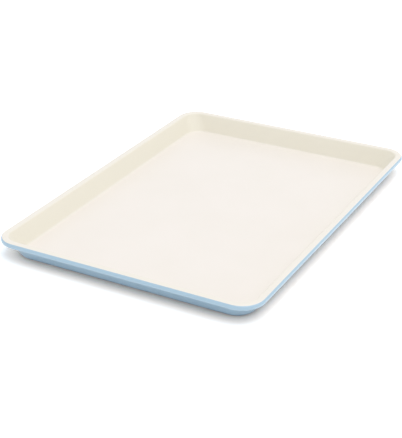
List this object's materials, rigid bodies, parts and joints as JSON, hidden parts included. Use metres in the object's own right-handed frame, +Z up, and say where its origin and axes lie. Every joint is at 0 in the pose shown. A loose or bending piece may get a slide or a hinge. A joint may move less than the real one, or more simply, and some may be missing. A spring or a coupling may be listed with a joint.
{
  "type": "cookie sheet",
  "caption": "Shallow rectangular baking tray with rounded corners, sloping walls and a wire-rolled rim, cream nonstick coat inside and light blue coat outside.",
  "frame": {"origin": "on the table under the middle of the tray: the centre of the flat underside", "axes": "+Y along the tray's length, +X across its width, +Z up out of the tray"},
  "size_m": [0.33, 0.457, 0.0242],
  "materials": {
    "sheet_steel": "satin",
    "wire_steel": "satin",
    "cream_coat": "satin",
    "blue_coat": "satin"
  },
  "bodies": {
    "root": {"pan_shell": "sheet_steel", "rim_wire": "wire_steel", "interior_coating": "cream_coat", "exterior_coating": "blue_coat"}
  },
  "joints": []
}
